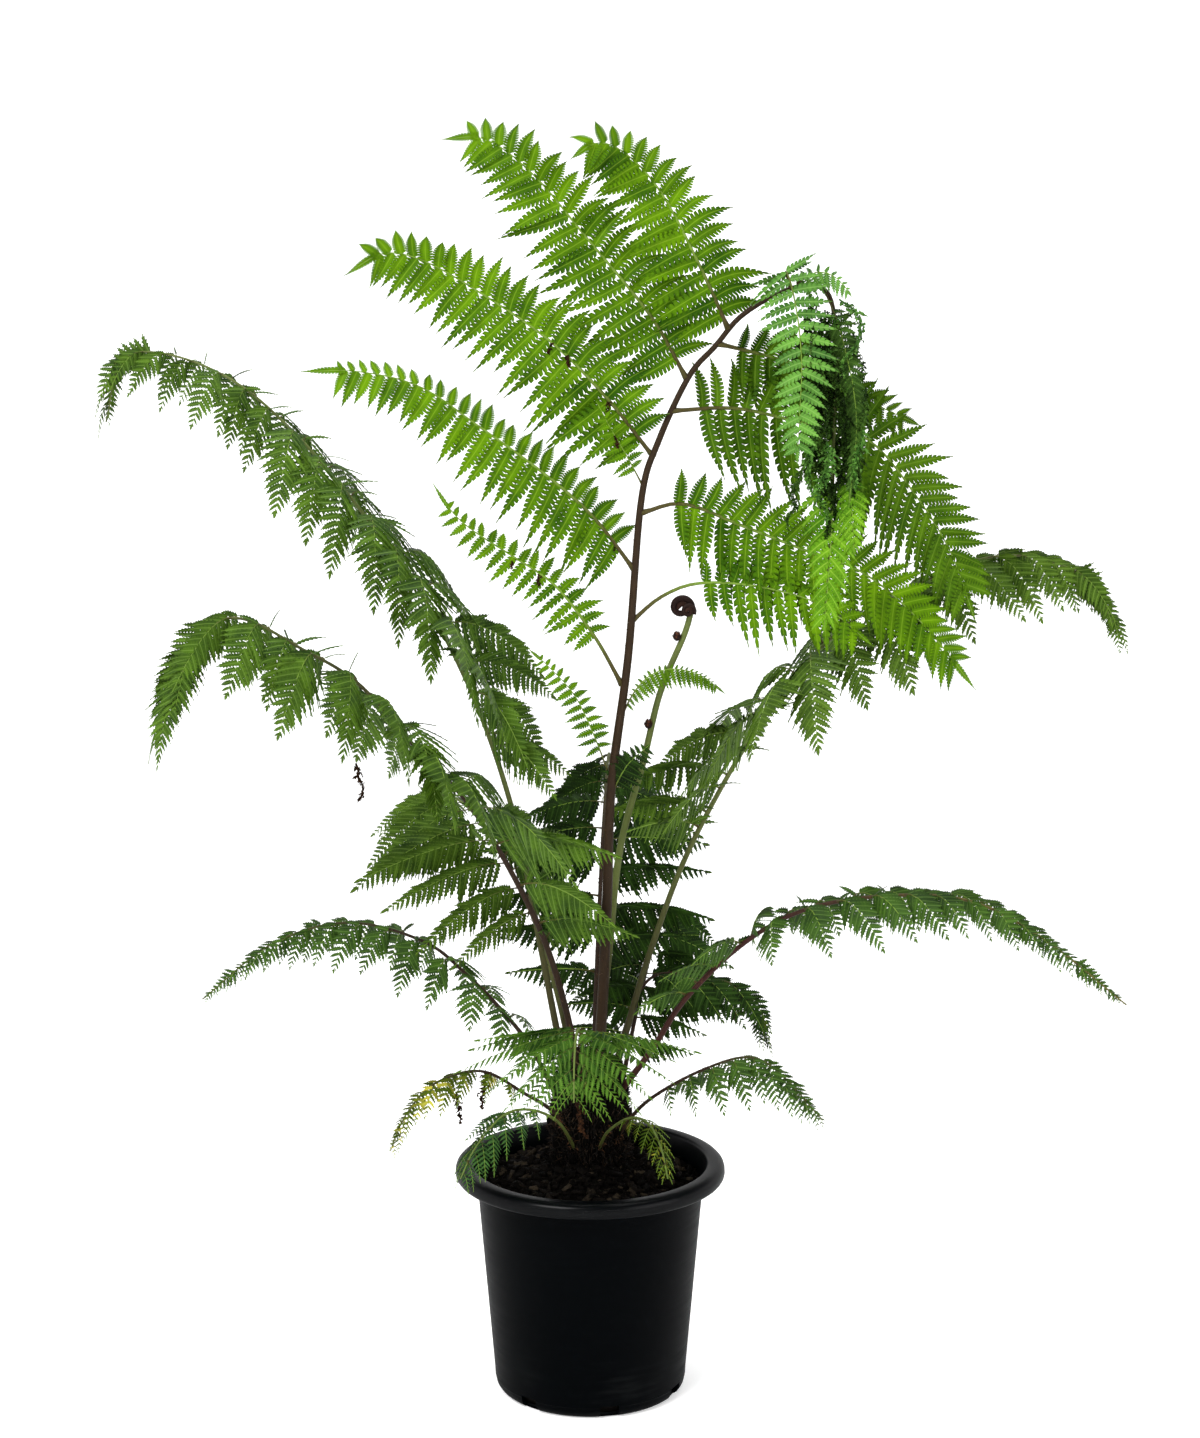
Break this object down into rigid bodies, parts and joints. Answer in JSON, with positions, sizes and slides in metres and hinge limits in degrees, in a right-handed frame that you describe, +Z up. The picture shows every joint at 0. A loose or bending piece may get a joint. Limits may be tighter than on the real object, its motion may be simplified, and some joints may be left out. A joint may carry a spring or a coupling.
{
  "type": "potted australian tree fern",
  "caption": "Young tree fern with arching feathery fronds on a short fibrous trunk, growing in a black nursery pot of bark mix.",
  "frame": {"origin": "centre of the pot's foot, on the ground", "axes": "+Z up, -Y towards the front of the plant, +X to the right as seen from the front"},
  "size_m": [1.2554, 0.6645, 1.5436],
  "materials": {
    "pot_plastic": "satin",
    "bark_mix": "matte",
    "trunk_fibre": "matte",
    "bright_leaf": "satin",
    "dark_leaf": "satin",
    "young_leaf": "satin",
    "yellow_leaf": "satin",
    "young_coil": "matte"
  },
  "bodies": {
    "root": {"pot": "pot_plastic", "soil": "bark_mix", "trunk": "trunk_fibre", "frond_main": "bright_leaf", "frond_upper_left": "dark_leaf", "frond_middle_left": "dark_leaf", "frond_low_left": "dark_leaf", "frond_rear_left": "dark_leaf", "frond_low_right": "dark_leaf", "frond_upper_right": "dark_leaf", "frond_middle_right": "dark_leaf", "frond_rear": "dark_leaf", "frond_rear_right": "dark_leaf", "frond_front": "young_leaf", "frond_yellowing": "yellow_leaf", "frond_front_right": "dark_leaf", "frond_over_rim": "young_leaf", "frond_over_soil": "yellow_leaf", "crozier": "young_coil"}
  },
  "joints": []
}
